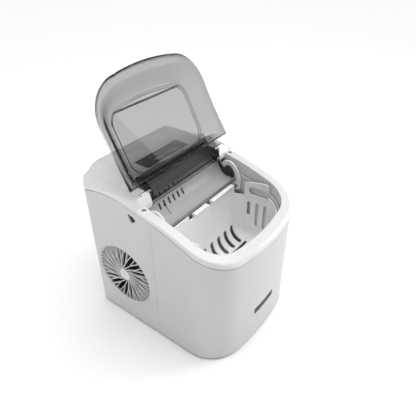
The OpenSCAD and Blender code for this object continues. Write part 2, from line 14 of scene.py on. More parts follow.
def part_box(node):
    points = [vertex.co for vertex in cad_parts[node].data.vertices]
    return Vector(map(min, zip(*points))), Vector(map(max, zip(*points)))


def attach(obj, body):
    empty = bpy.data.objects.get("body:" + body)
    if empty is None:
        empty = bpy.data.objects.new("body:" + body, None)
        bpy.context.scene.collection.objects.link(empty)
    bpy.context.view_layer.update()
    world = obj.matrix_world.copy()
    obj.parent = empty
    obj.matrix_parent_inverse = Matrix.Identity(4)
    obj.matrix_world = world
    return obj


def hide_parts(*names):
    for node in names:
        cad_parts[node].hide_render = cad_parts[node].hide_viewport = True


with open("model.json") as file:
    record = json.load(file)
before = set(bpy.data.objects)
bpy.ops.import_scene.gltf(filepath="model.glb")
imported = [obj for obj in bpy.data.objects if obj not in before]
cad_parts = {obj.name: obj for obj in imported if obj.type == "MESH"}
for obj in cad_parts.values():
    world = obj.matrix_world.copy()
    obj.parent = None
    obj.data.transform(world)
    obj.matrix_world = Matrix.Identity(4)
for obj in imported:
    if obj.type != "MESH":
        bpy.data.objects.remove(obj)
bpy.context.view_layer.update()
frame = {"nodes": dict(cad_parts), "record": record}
MM = 0.001


def box_mm(node):
    """Lowest and highest corner of a CAD node, in millimetres."""
    low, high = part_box(node)
    return [v / MM for v in low], [v / MM for v in high]


def joint(name):
    return next(j for j in frame["record"]["behaviour"]["joints"] if j["name"] == name)


# ---- Driving dimensions, from the frame ----

HOUSING_LOW, HOUSING_HIGH = box_mm("rear_housing")
PANEL_LOW, PANEL_HIGH = box_mm("control_panel")
GRILLE_LOW, GRILLE_HIGH = box_mm("fan_grille")
PLATE_LOW, PLATE_HIGH = box_mm("nameplate")
HALF_W = HOUSING_HIGH[0]
HALF_D = HOUSING_HIGH[1]
TOP_Z = box_mm("top_cover")[1][2]
BOTTOM_Z = HOUSING_LOW[2]
SEAM_Y = HOUSING_LOW[1]

# Sizes that the boxes don't show: the wall, the plan radii, the gap at the seams, the
# band round the opening, and the slot, pillars and hood edge at the hinge
WALL = 2.4
CORNER_R = 57
BOW_R = 391
REAR_R = 12
SEAM_GAP = 0.3
RIM_BAND = 16
SLOT_HALF = 80.5
PILLAR_Y = 15
HOOD_Y = 48
# A Y in front of the whole machine
BEYOND_FRONT = -140

HINGE_Y, HINGE_Z = [v / MM for v in joint("lid_hinge")["pos_m"][1:]]
LID_SWING = -joint("lid_hinge")["range_deg"][0]
SHOVEL_Y, SHOVEL_Z = [v / MM for v in joint("shovel_swing")["pos_m"][1:]]
FAN_Y, FAN_Z = [v / MM for v in joint("fan_spin")["pos_m"][1:]]
GRILLE_R = (GRILLE_HIGH[1] - GRILLE_LOW[1]) / 2

BOW_Y = BOW_R - HALF_D
CORNER_X = HALF_W - CORNER_R
CORNER_Y = BOW_Y - math.sqrt((BOW_R - CORNER_R) ** 2 - CORNER_X ** 2)
TANGENT_A = math.atan2(CORNER_X, BOW_Y - CORNER_Y)

# How far the cutters reach through the left, right and back walls
LEFT_WALL = (-HALF_W - 3, -HALF_W + 6)
RIGHT_WALL = (HALF_W - 5, HALF_W + 3)
BACK_WALL = (HALF_D - 5, HALF_D + 3)

PIN_HOLE_R = 2.6
RIM_SCREW_R = 3
HOUSING_SCREW_R = 3.2
SCREW_HOLE_R = 3.4
FOOT_R = 9

# Heights along Y, from the front to the back: the seam under the top cover, the
# band round the opening, and the bead where the cover's top meets its side
SEAM_LINE = [(-HALF_D, 181), (-100, 194), (-60, 211.5), (-20, 224.5), (16, 232.5), (62, 240), (98, 238),
             (HALF_D, 229.5)]
RIM_LINE = [(-HALF_D, 189), (-100, 203), (-60, 218.5), (-20, 230.5), (16, 238.5)]
BEAD_LINE = [(8, 241), (26, 245), (45, 248), (64, 249), (85, 246.5), (119, 240), (HALF_D, 238)]
# Height of the cover's top across X, behind the hinge
HOOD_CURVE = [(74, TOP_Z), (80, 261.3), (86, 259), (90, 256), (94, 253.2), (98, 251.8), (104, 250.9),
              (112, 250)]
LEDGE_Z = 250


def height_at(line, y):
    """Smooth curve through a list of (position, height) stations."""
    y = min(max(y, line[0][0]), line[-1][0])
    i = 0
    while i < len(line) - 2 and y > line[i + 1][0]:
        i += 1

    def slope(k):
        a, b = line[max(k - 1, 0)], line[min(k + 1, len(line) - 1)]
        return (b[1] - a[1]) / (b[0] - a[0])

    h = line[i + 1][0] - line[i][0]
    u = (y - line[i][0]) / h
    return (line[i][1] * (1 + 2 * u) * (1 - u) ** 2 + slope(i) * h * u * (1 - u) ** 2
            + line[i + 1][1] * u * u * (3 - 2 * u) - slope(i + 1) * h * u * u * (1 - u))


def smooth(t):
    t = min(max(t, 0), 1)
    return t * t * (3 - 2 * t)


# ---- Materials ----

def material(name, colour, rough, metallic=0.0, bump=0.1, grain=900, vary=0.04, rough_vary=0.06, coat=0.0,
             transmission=0.0, absorb=None, subsurface=0.0, stretch=(1, 1, 1)):
    """Principled material with procedural colour, roughness and bump variation.
    absorb holds the colour and density that a clear material takes out of light."""
    mat = bpy.data.materials.new(name)
    mat.use_nodes = True
    tree = mat.node_tree
    nodes, links = tree.nodes, tree.links
    shader = nodes["Principled BSDF"]
    coords = nodes.new("ShaderNodeTexCoord")
    mapping = nodes.new("ShaderNodeMapping")
    mapping.inputs["Scale"].default_value = stretch
    links.new(coords.outputs["Object"], mapping.inputs["Vector"])

    def noise(scale, detail):
        node = nodes.new("ShaderNodeTexNoise")
        node.inputs["Scale"].default_value = scale
        node.inputs["Detail"].default_value = detail
        links.new(mapping.outputs["Vector"], node.inputs["Vector"])
        return node.outputs["Fac"]

    def spread(source, low, high):
        node = nodes.new("ShaderNodeMapRange")
        node.inputs["From Min"].default_value = 0.3
        node.inputs["From Max"].default_value = 0.7
        node.inputs["To Min"].default_value = low
        node.inputs["To Max"].default_value = high
        links.new(source, node.inputs["Value"])
        return node.outputs["Result"]

    patches = noise(25, 4)
    fine = noise(grain, 3)
    mix = nodes.new("ShaderNodeMix")
    mix.data_type = "RGBA"
    mix.inputs["A"].default_value = [c * (1 - vary) for c in colour] + [1]
    mix.inputs["B"].default_value = [min(c * (1 + vary), 1) for c in colour] + [1]
    links.new(spread(patches, 0, 1), mix.inputs["Factor"])
    links.new(mix.outputs["Result"], shader.inputs["Base Color"])
    links.new(spread(patches, max(rough - rough_vary, 0.02), rough + rough_vary), shader.inputs["Roughness"])
    relief = nodes.new("ShaderNodeBump")
    relief.inputs["Strength"].default_value = bump
    relief.inputs["Distance"].default_value = 0.0002
    links.new(fine, relief.inputs["Height"])
    links.new(relief.outputs["Normal"], shader.inputs["Normal"])
    shader.inputs["Metallic"].default_value = metallic
    shader.inputs["Coat Weight"].default_value = coat
    shader.inputs["Coat Roughness"].default_value = 0.08
    shader.inputs["Transmission Weight"].default_value = transmission
    shader.inputs["Subsurface Weight"].default_value = subsurface
    shader.inputs["Subsurface Scale"].default_value = 0.003
    if absorb:
        volume = nodes.new("ShaderNodeVolumeAbsorption")
        volume.inputs["Color"].default_value = absorb[0] + (1,)
        volume.inputs["Density"].default_value = absorb[1]
        links.new(volume.outputs["Volume"], nodes["Material Output"].inputs["Volume"])
        shader.inputs["IOR"].default_value = 1.2
        # Lamps shine through, as they do through a thin clear wall
        path = nodes.new("ShaderNodeLightPath")
        clear = nodes.new("ShaderNodeBsdfTransparent")
        clear.inputs["Color"].default_value = (0.93, 0.93, 0.93, 1)
        blend = nodes.new("ShaderNodeMixShader")
        links.new(path.outputs["Is Shadow Ray"], blend.inputs["Fac"])
        links.new(shader.outputs["BSDF"], blend.inputs[1])
        links.new(clear.outputs["BSDF"], blend.inputs[2])
        links.new(blend.outputs["Shader"], nodes["Material Output"].inputs["Surface"])
    return mat


MATERIALS = {
    "white_gloss": material("white_gloss", (0.71, 0.71, 0.71), 0.26, bump=0.05, vary=0.01, coat=0.25),
    "side_panels": material("side_panels", (0.55, 0.55, 0.555), 0.32, metallic=0.35, bump=0.06, grain=2600,
                            vary=0.015, rough_vary=0.03),
    "smoked_clear": material("smoked_clear", (0.97, 0.97, 0.975), 0.02, bump=0.0, grain=300, vary=0.01,
                             rough_vary=0.005, transmission=1.0, absorb=((0.5, 0.5, 0.505), 600)),
    "basket_plastic": material("basket_plastic", (0.88, 0.88, 0.88), 0.33, bump=0.05, vary=0.012, coat=0.1,
                               subsurface=0.15),
    "tank_plastic": material("tank_plastic", (0.68, 0.68, 0.69), 0.4, bump=0.08, vary=0.015),
    # Painted shade: the shovel plate and evaporator cover get this dark grey for the shade inside the
    # machine, though the shovel is white plastic like its arms
    "inner_plastic": material("inner_plastic", (0.37, 0.37, 0.37), 0.42, bump=0.05, vary=0.02),
    "arm_plastic": material("arm_plastic", (0.8, 0.8, 0.8), 0.3, bump=0.05, vary=0.01),
    "grille_plastic": material("grille_plastic", (0.7, 0.7, 0.7), 0.38, bump=0.08, vary=0.02),
    "grey_plastic": material("grey_plastic", (0.33, 0.33, 0.34), 0.5, bump=0.15, vary=0.03),
    "panel_dark": material("panel_dark", (0.075, 0.075, 0.08), 0.3, bump=0.04, vary=0.05, coat=0.5),
    "button_grey": material("button_grey", (0.1, 0.1, 0.105), 0.34, bump=0.05, vary=0.05),
    "badge_dark": material("badge_dark", (0.04, 0.04, 0.042), 0.6, bump=0.06, vary=0.05),
    # Near-black for the lid's bead: painted shade standing in for the dark edge line of the clear lid's
    # raised flat
    "lid_line": material("lid_line", (0.09, 0.09, 0.095), 0.4, bump=0.03, vary=0.04),
    "print_light": material("print_light", (0.62, 0.62, 0.63), 0.45, bump=0.03, vary=0.02),
    "lens": material("lens", (0.5, 0.51, 0.52), 0.2, bump=0.02, vary=0.03, coat=0.4),
    "rubber": material("rubber", (0.04, 0.04, 0.04), 0.72, bump=0.35, grain=1500, vary=0.1),
    "rubber_grey": material("rubber_grey", (0.26, 0.26, 0.27), 0.66, bump=0.25, grain=1500, vary=0.05),
    "steel": material("steel", (0.56, 0.56, 0.57), 0.28, metallic=1.0, bump=0.12, grain=1200, vary=0.04,
                      stretch=(1, 1, 6)),
    "circuit_board": material("circuit_board", (0.02, 0.11, 0.05), 0.4, bump=0.2, grain=1400, vary=0.2,
                              coat=0.3),
    "nickel": material("nickel", (0.62, 0.6, 0.57), 0.2, metallic=1.0, bump=0.05, vary=0.04),
    "compressor_black": material("compressor_black", (0.015, 0.015, 0.016), 0.35, bump=0.2, grain=700,
                                 vary=0.2, coat=0.3),
    "aluminium_fins": material("aluminium_fins", (0.6, 0.61, 0.62), 0.38, metallic=1.0, bump=0.2, grain=1800,
                               vary=0.06, stretch=(4, 1, 1)),
    "motor_grey": material("motor_grey", (0.05, 0.05, 0.055), 0.5, bump=0.15, vary=0.08),
    "fan_plastic": material("fan_plastic", (0.025, 0.025, 0.026), 0.45, bump=0.12, vary=0.1),
    "copper": material("copper", (0.6, 0.3, 0.17), 0.32, metallic=1.0, bump=0.1, vary=0.1, rough_vary=0.12),
    "hose_clear": material("hose_clear", (0.6, 0.62, 0.64), 0.3, bump=0.05, vary=0.03, subsurface=0.2),
    "black_plastic": material("black_plastic", (0.02, 0.02, 0.02), 0.5, bump=0.2, grain=1300, vary=0.1),
}
SLOT_OF = {s["node"]: s["material_slot"] for s in frame["record"]["subparts"]}


# ---- Mesh tools ----

def new_object(name, verts, faces):
    mesh = bpy.data.meshes.new(name)
    mesh.from_pydata([tuple(c * MM for c in v) for v in verts], [], faces)
    obj = bpy.data.objects.new(name, mesh)
    bpy.context.scene.collection.objects.link(obj)
    bm = bmesh.new()
    bm.from_mesh(mesh)
    bmesh.ops.remove_doubles(bm, verts=bm.verts, dist=1e-6)
    bmesh.ops.dissolve_degenerate(bm, edges=bm.edges, dist=1e-6)
    bmesh.ops.recalc_face_normals(bm, faces=bm.faces)
    bm.to_mesh(mesh)
    bm.free()
    return obj


def bake(obj):
    """Puts the modifiers' result into the mesh."""
    graph = bpy.context.evaluated_depsgraph_get()
    mesh = bpy.data.meshes.new_from_object(obj.evaluated_get(graph))
    obj.modifiers.clear()
    obj.data = mesh


def combine(obj, others, operation="DIFFERENCE"):
    """Cuts the other objects out of obj, or joins them to it, and removes them."""
    for other in others:
        modifier = obj.modifiers.new("combine", "BOOLEAN")
        modifier.operation = operation
        modifier.solver = "EXACT"
        modifier.object = other
        bake(obj)
        bpy.data.objects.remove(other)
    return obj


def thicken(obj, thickness, even=True):
    """Gives an open surface a wall behind its faces."""
    modifier = obj.modifiers.new("wall", "SOLIDIFY")
    modifier.thickness = thickness * MM
    modifier.offset = -1
    modifier.use_even_offset = even
    bake(obj)


def soften(obj, width, segments=3, angle=35):
    """Rounds the edges and keeps flat faces flat."""
    bevel = obj.modifiers.new("rounding", "BEVEL")
    bevel.width = width * MM
    bevel.segments = segments
    bevel.limit_method = "ANGLE"
    bevel.angle_limit = math.radians(angle)
    bevel.use_clamp_overlap = False
    bevel.harden_normals = False


def finish_piece(obj, mat, body, replaced=(), sharp=40):
    """Shading, material and body of a finished piece."""
    bake(obj)
    mesh = obj.data
    mesh.materials.clear()
    mesh.materials.append(MATERIALS[mat])
    mesh.polygons.foreach_set("use_smooth", [True] * len(mesh.polygons))
    mesh.set_sharp_from_angle(angle=math.radians(sharp))
    obj.modifiers.new("flat_faces", "WEIGHTED_NORMAL").keep_sharp = True
    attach(obj, body)
    if replaced:
        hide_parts(*replaced)
    return obj


def sweep(name, stations, closed=False):
    """Closed profile at each station, joined along the path. Open paths get end caps."""
    n = len(stations[0])
    verts = [p for profile in stations for p in profile]
    count = len(stations)
    faces = []
    for i in range(count if closed else count - 1):
        for j in range(n):
            a, b = i * n, (i + 1) % count * n
            faces.append((a + j, a + (j + 1) % n, b + (j + 1) % n, b + j))
    if not closed:
        faces.append(tuple(range(n)))
        faces.append(tuple(range((count - 1) * n, count * n)))
    return new_object(name, verts, faces)


def extrude(name, points, axis, low, high):
    """Polygon given in the other two axes, extruded along one axis."""
    def place(p, c):
        return {"x": (c, p[0], p[1]), "y": (p[0], c, p[1]), "z": (p[0], p[1], c)}[axis]
    return sweep(name, [[place(p, c) for p in points] for c in (low, high)])


def rounded(x0, y0, x1, y1, r, n=6):
    """Rounded rectangle as a list of points."""
    corners = ((x1 - r, y1 - r, 0), (x0 + r, y1 - r, 90), (x0 + r, y0 + r, 180), (x1 - r, y0 + r, 270))
    return [(cx + r * math.cos(a), cy + r * math.sin(a)) for cx, cy, start in corners
            for a in [math.radians(start + 90 * k / n) for k in range(n + 1)]]


def box_outline(low, high, axes, grow, r):
    """Rounded outline of a box in two of its axes, grown on all sides."""
    a, b = axes
    return rounded(low[a] - grow, low[b] - grow, high[a] + grow, high[b] + grow, r)


def circle(cx, cy, r, n=48):
    return [(cx + r * math.cos(math.tau * k / n), cy + r * math.sin(math.tau * k / n)) for k in range(n)]


def revolve_x(name, profile, cy, cz, n=96):
    """Closed profile of (x, radius) turned about an axis along X."""
    return sweep(name, [[(x, cy + r * math.cos(a), cz + r * math.sin(a)) for x, r in profile]
                        for a in [math.tau * k / n for k in range(n)]], closed=True)


def lathe_z(name, cx, cy, profile, n):
    """Profile of (radius, height) turned about a vertical axis, with end caps."""
    return sweep(name, [[(x, y, h) for x, y in circle(cx, cy, r, n)] for r, h in profile])


def arc_points(cy, cz, r, a0, a1, n):
    """Points along an arc between two angles in degrees."""
    angles = [math.radians(a0 + (a1 - a0) * k / n) for k in range(n + 1)]
    return [(cy + r * math.cos(a), cz + r * math.sin(a)) for a in angles]


def centre(node):
    low, high = box_mm(node)
    return [(a + b) / 2 for a, b in zip(low, high)]


def side_x(node, inset):
    """X of the two equal parts at the left and right end of a node's box."""
    low, high = box_mm(node)
    return low[0] + inset, high[0] - inset


def corner_centres(node, axis, inset):
    """Centres of the four equal parts at the corners of a node's box, in X and one other axis."""
    low, high = box_mm(node)
    return [(x, c) for x in side_x(node, inset) for c in (low[axis] + inset, high[axis] - inset)]


def join(objects):
    """Joins several objects into the first one."""
    first = objects[0]
    bm = bmesh.new()
    for obj in objects:
        bm.from_mesh(obj.data)
    bm.to_mesh(first.data)
    bm.free()
    for obj in objects[1:]:
        bpy.data.objects.remove(obj)
    return first


# ---- Plan outline of the casing ----

def plan_path():
    """Stations (x, y, inward normal) from the right side's back corner, round the front, to the left one."""
    stations = []

    def arc(cx, cy, r, a0, a1, n):
        for k in range(n + 1):
            a = a0 + (a1 - a0) * k / n
            stations.append((cx + r * math.cos(a), cy + r * math.sin(a), -math.cos(a), -math.sin(a)))

    def side(x, y0, y1, n):
        for k in range(1, n):
            stations.append((x, y0 + (y1 - y0) * k / n, -math.copysign(1, x), 0))

    rear_x, rear_y = HALF_W - REAR_R, HALF_D - REAR_R
    quarter = math.pi / 2
    rear_steps, side_steps, corner_steps, bow_steps = 8, 24, 22, 20
    arc(rear_x, rear_y, REAR_R, quarter, 0, rear_steps)
    side(HALF_W, rear_y, CORNER_Y, side_steps)
    arc(CORNER_X, CORNER_Y, CORNER_R, 0, TANGENT_A - quarter, corner_steps)
    arc(0, BOW_Y, BOW_R, TANGENT_A - quarter, -TANGENT_A - quarter, bow_steps)
    arc(-CORNER_X, CORNER_Y, CORNER_R, -TANGENT_A - quarter, -math.pi, corner_steps)
    side(-HALF_W, CORNER_Y, rear_y, side_steps)
    arc(-rear_x, rear_y, REAR_R, math.pi, quarter, rear_steps)
    return stations


def cut_path(stations, y_limit, front):
    """The stretch of the path in front of y_limit, or behind it, with exact ends."""
    ends = [(HALF_W, y_limit, -1, 0), (-HALF_W, y_limit, 1, 0)]
    if front:
        return [ends[0]] + [s for s in stations if s[1] < y_limit - 1] + [ends[1]]
    left = [s for s in stations if s[1] > y_limit + 1 and s[0] < 0]
    right = [s for s in stations if s[1] > y_limit + 1 and s[0] > 0]
    return [ends[1]] + left + right + [ends[0]]


PLAN = plan_path()


def swept_wall(name, path, profile):
    """Sweeps profile(y) = [(inset, height function)] along a plan path."""
    stations = []
    for x, y, nx, ny in path:
        row = []
        for inset, height in profile:
            py = y + ny * inset
            row.append((x + nx * inset, py, height(py)))
        stations.append(row)
    return sweep(name, stations)


# ---- Casing ----

def seam_at(y):
    return height_at(SEAM_LINE, y)


def rim_at(y):
    return height_at(RIM_LINE, y)


def above_floor(lift):
    return lambda y: BOTTOM_Z + lift


def above_seam(lift):
    return lambda y: seam_at(y) + lift


def below_rim(drop):
    return lambda y: rim_at(y) - drop


def shell_profile():
    """Cross-section of the painted wrap, with a rolled top edge."""
    return [(0.5, above_floor(0)), (0, above_floor(0.7)), (0, above_seam(-1.5)), (0.35, above_seam(-0.6)),
            (1.2, seam_at), (WALL, seam_at), (WALL, above_floor(0))]


def front_shell():
    obj = swept_wall("front_shell_skin", cut_path(PLAN, SEAM_Y - SEAM_GAP, True), shell_profile())
    recess_depth = 1.6
    outline = box_outline(PLATE_LOW, PLATE_HIGH, (0, 2), 0.5, 2)
    combine(obj, [extrude("recess", outline, "y", -HALF_D - 5, -HALF_D + recess_depth)])
    finish_piece(obj, "side_panels", "casing", ["front_shell"])


def breather_slots():
    """Breather opening on the left: three round-ended slots that fan out and overlap."""
    cutters = []
    for k, (turn, half) in enumerate(((-24, 6.4), (12, 5.8), (48, 5.0))):
        cos, sin = math.cos(math.radians(turn)), math.sin(math.radians(turn))
        y, z = 27.5 - (k - 1) * 2.4, 220.6 - k
        points = [(y + px * cos - pz * sin, z + px * sin + pz * cos)
                  for px, pz in rounded(-2.7, -half, 2.7, half, 2.6)]
        cutters.append(extrude("slot", points, "x", *LEFT_WALL))
    return cutters


def vent_slots():
    """Two rows of upright slots on the right side and one row at the back."""
    half, r, pitch = 2, 1.9, 9
    cutters = []
    for i in range(11):
        y = 22 + i * pitch
        for z in (60, 106):
            outline = rounded(y - half, z - 18, y + half, z + 18, r)
            cutters.append(extrude("slot", outline, "x", *RIGHT_WALL))
    for i in range(13):
        x = -58 + i * pitch
        cutters.append(extrude("slot", rounded(x - half, 62, x + half, 126, r), "y", *BACK_WALL))
    return cutters


def rear_housing():
    obj = swept_wall("rear_housing_skin", cut_path(PLAN, SEAM_Y, False), shell_profile())
    cutters = [extrude("fan_hole", circle(FAN_Y, FAN_Z, GRILLE_R + 0.4, 96), "x", *LEFT_WALL)]
    cutters += breather_slots() + vent_slots()
    pipe_hole_r = 7.3
    for node in ("drain_spout", "power_inlet_gland"):
        x, _, z = centre(node)
        cutters.append(extrude("hole", circle(x, z, pipe_hole_r), "y", *BACK_WALL))
    for x, z in corner_centres("housing_screws", 2, HOUSING_SCREW_R):
        cutters.append(extrude("hole", circle(x, z, SCREW_HOLE_R), "y", *BACK_WALL))
    combine(obj, cutters)
    soften(obj, 0.35, 2, 50)
    finish_piece(obj, "side_panels", "casing", ["rear_housing"])


def rim_band():
    """Sloping band round the ice chamber's opening, with its skirt and inner collar."""
    outer_r, inner_r = 3.4, 1.6
    collar_drop, collar_wall = 20, 2
    underside = WALL + 0.6
    profile = [(0.9, above_seam(SEAM_GAP)), (0.2, above_seam(0.7)), (0, above_seam(1.4)),
               (0, below_rim(outer_r))]
    for a in [math.radians(15 * k) for k in range(1, 7)]:
        profile.append((outer_r * (1 - math.cos(a)), below_rim(outer_r * (1 - math.sin(a)))))
    for a in [math.radians(18 * k) for k in range(6)]:
        inset = RIM_BAND - inner_r + inner_r * math.sin(a)
        profile.append((inset, below_rim(inner_r * (1 - math.cos(a)))))
    profile += [(RIM_BAND, below_rim(collar_drop)), (RIM_BAND - collar_wall, below_rim(collar_drop)),
                (RIM_BAND - collar_wall, below_rim(underside)), (WALL, below_rim(underside)),
                (WALL, above_seam(SEAM_GAP))]
    return swept_wall("top_cover_band", cut_path(PLAN, PILLAR_Y + 1.5, True), profile)


def cover_height(x, y):
    """Height of the cover's top behind the opening."""
    a = abs(x)
    shoulder_x, shoulder_power = 98, 1.3
    ledge_rise = 0.6
    z = height_at(HOOD_CURVE, a)
    if y < HOOD_Y:
        z = min(z, LEDGE_Z + ledge_rise)
    drop = HOOD_CURVE[-1][1] - height_at(BEAD_LINE, y)
    z -= drop * smooth((a - shoulder_x) / (HALF_W - shoulder_x)) ** shoulder_power
    # The pillars slope down to their front edge
    front = PILLAR_Y + 4.5
    front_z = 236.5
    if y < front:
        flank = 1 - 0.4 * smooth((a - shoulder_x) / 14)
        z -= (LEDGE_Z - front_z) * (1 - (y - PILLAR_Y) / (front - PILLAR_Y)) * flank
    return z


def rear_cover():
    """Hood, ledge and hinge pillars as one thin shell."""
    columns = [0, 20, 40, 60, 74, 77, SLOT_HALF, 83] + list(range(86, 111, 2)) + [HALF_W]
    columns = [-c for c in reversed(columns[1:])] + columns
    rows = [PILLAR_Y, 16.5, 18, 19.5, 22, 26, 32, 38, 44, HOOD_Y - 1, HOOD_Y]
    rows += list(range(56, 113, 8)) + [116]
    corner_y = HALF_D - REAR_R
    rows += [corner_y + REAR_R * math.sin(math.radians(a)) for a in (0, 12, 24, 36, 48, 60, 72, 84)]
    # Tolerance that tells which edge a grid point lies on
    near = 0.1

    def column_x(x, y):
        """Columns near the sides close in round the rear corners."""
        inner = HALF_W - REAR_R
        if y <= corner_y or abs(x) <= inner:
            return x
        reach = math.sqrt(max(REAR_R ** 2 - (y - corner_y) ** 2, 0))
        return math.copysign(inner + (abs(x) - inner) * reach / REAR_R, x)

    verts, index = [], {}

    def vert(key, point):
        if key not in index:
            index[key] = len(verts)
            verts.append(point)
        return index[key]

    def top(i, j):
        x = column_x(columns[i], rows[j])
        return vert((i, j), (x, rows[j], cover_height(x, rows[j])))

    def low(i, j, z):
        x = column_x(columns[i], rows[j])
        return vert((i, j, "low"), (x, rows[j], z))

    def open_cell(i, j):
        return rows[j + 1] <= HOOD_Y and abs(columns[i] + columns[i + 1]) / 2 < SLOT_HALF

    def foot(k):
        """Height of the skirt's lower edge at a grid point on the outline."""
        x, y = columns[k[0]], rows[k[1]]
        if abs(x) < SLOT_HALF + near and y < HOOD_Y + near:
            return 240 if y > HOOD_Y - near else 234
        if y < PILLAR_Y + near:
            return 230 + 4 * smooth((abs(x) - 95) / 10)
        return seam_at(y) + SEAM_GAP

    faces = []
    edges = []
    for i in range(len(columns) - 1):
        for j in range(len(rows) - 1):
            if open_cell(i, j):
                continue
            ring = [(i, j), (i + 1, j), (i + 1, j + 1), (i, j + 1)]
            faces.append([top(*k) for k in ring])
            edges += zip(ring, ring[1:] + ring[:1])
    met = set(edges)
    for a, b in edges:
        if (b, a) not in met:
            faces.append([top(*b), top(*a), low(*a, foot(a)), low(*b, foot(b))])
    obj = new_object("top_cover_hood", verts, faces)
    thicken(obj, WALL, False)
    return obj


def top_cover():
    hood = rear_cover()
    outline = box_outline(PANEL_LOW, PANEL_HIGH, (0, 1), 0.5, 3)
    combine(hood, [extrude("recess", outline, "z", TOP_Z - 1.3, TOP_Z + 3)])
    soften(hood, 1.5, 4, 42)
    bake(hood)
    # The bevel pushes a few points outwards, past the casing
    for v in hood.data.vertices:
        v.co.x = min(max(v.co.x, -HALF_W * MM), HALF_W * MM)
        v.co.y = min(v.co.y, HALF_D * MM)
    band = rim_band()
    screw_y = centre("rim_screws")[1]
    combine(band, [extrude("hole", circle(x, screw_y, SCREW_HOLE_R), "z", 225, LEDGE_Z)
                   for x in side_x("rim_screws", RIM_SCREW_R)])
    obj = join([hood, band])
    obj.name = "top_cover_skin"
    finish_piece(obj, "white_gloss", "casing", ["top_cover"], sharp=50)


# ---- Lid, modelled closed and then swung open ----

LID_REAR_Y = 13.2
LID_FRONT = (-128, 198.4)
LID_BACK = (LID_REAR_Y, 244.5)
FLAT_FRONT = (-104, 225.4)
FLAT_BACK = (-1, 260.4)
LID_WALL = 2.4
# Centre that the lid's rings are drawn round, and how far its outlines stand in from the casing
LID_CENTRE_Y = -52.0
LID_INSET = 2.5
FLAT_INSET = 34
FLAT_R = 20


def line_height(a, b, y):
    return a[1] + (b[1] - a[1]) * (y - a[0]) / (b[0] - a[0])


def plan_radius(inset, front, back, angle, cy, blend=0.0, waist=None):
    """Distance from (0, cy) to the plan outline moved in by inset and cut at the given Y limits,
    with the cut corners rounded by the radius blend. A waist (half width, y, slope) tapers the
    outline towards that half width at y."""
    dx, dy = math.cos(angle), math.sin(angle)
    reach = 260.0
    halvings = 40

    def inside(r):
        x, y = abs(r * dx), cy + r * dy
        if y > back or y < front or x > HALF_W - inset:
            return False
        if waist and x > waist[0] + (waist[1] - y) * waist[2]:
            return False
        if blend:
            for limit in (back, front):
                cx = (waist[0] + blend * waist[2] if waist else HALF_W - inset) - blend
                edge = abs(y - (limit - math.copysign(blend, limit - cy)))
                beyond = (y > limit - blend) if limit > cy else (y < limit + blend)
                if x > cx and beyond and (x - cx) ** 2 + edge ** 2 > blend ** 2:
                    return False
        corner = (x - CORNER_X) ** 2 + (y - CORNER_Y) ** 2
        if y < CORNER_Y and x > CORNER_X and corner > (CORNER_R - inset) ** 2:
            return False
        return x ** 2 + (y - BOW_Y) ** 2 < (BOW_R - inset) ** 2 or y > CORNER_Y

    lo, hi = 0.0, reach
    for _ in range(halvings):
        mid = (lo + hi) / 2
        if inside(mid):
            lo = mid
        else:
            hi = mid
    return lo


def ring_angles(corners, n=200):
    """Evenly spaced angles with the exact corners added."""
    return sorted(set([math.tau * k / n for k in range(n)] + [a % math.tau for a in corners]))


def flat_outline_bar(name, angles, shrink, section):
    """Closed bar with the given section that follows the outline of the lid's raised flat."""
    stations = []
    front, back = FLAT_FRONT[0] + shrink, FLAT_BACK[0] - shrink
    for a in angles:
        r = plan_radius(FLAT_INSET + shrink, front, back, a, LID_CENTRE_Y, FLAT_R)
        row = []
        for dr, dz in section:
            x, y = (r + dr) * math.cos(a), LID_CENTRE_Y + (r + dr) * math.sin(a)
            row.append((x, y, line_height(FLAT_FRONT, FLAT_BACK, y) + dz))
        stations.append(row)
    return sweep(name, stations, closed=True)


def lid_bowl(angles):
    """The lid without its tongue: a skirt, sloping sides and the raised flat."""
    # Share of the way from the lid's edge in to the flat, and share of the rise there
    steps = [(0, 0), (0.09, 0.0), (0.2, 0.03), (0.3, 0.1), (0.42, 0.27), (0.55, 0.52), (0.68, 0.75),
             (0.8, 0.9), (0.9, 0.975), (0.965, 1.0), (1.0, 1.0)]
    rings = []
    for fraction, rise in steps:
        ring = []
        for a in angles:
            r0 = plan_radius(LID_INSET, BEYOND_FRONT, LID_REAR_Y, a, LID_CENTRE_Y)
            r1 = plan_radius(FLAT_INSET, FLAT_FRONT[0], FLAT_BACK[0], a, LID_CENTRE_Y, FLAT_R)
            r = r0 + (r1 - r0) * fraction
            x, y = r * math.cos(a), LID_CENTRE_Y + r * math.sin(a)
            low = line_height(LID_FRONT, LID_BACK, y)
            high = line_height(FLAT_FRONT, FLAT_BACK, y)
            ring.append((x, y, low + (high - low) * rise))
        rings.append(ring)
    rings.insert(0, [(x, y, min(rim_at(y) + 0.8, z - 1)) for x, y, z in rings[0]])
    n = len(angles)
    verts = [p for ring in rings for p in ring]
    faces = []
    for i in range(len(rings) - 1):
        for j in range(n):
            k = (j + 1) % n
            faces.append((i * n + j, i * n + k, (i + 1) * n + k, (i + 1) * n + j))
    faces.append(tuple((len(rings) - 1) * n + j for j in range(n)))
    obj = new_object("lid_shell", verts, faces)
    thicken(obj, LID_WALL)
    return obj


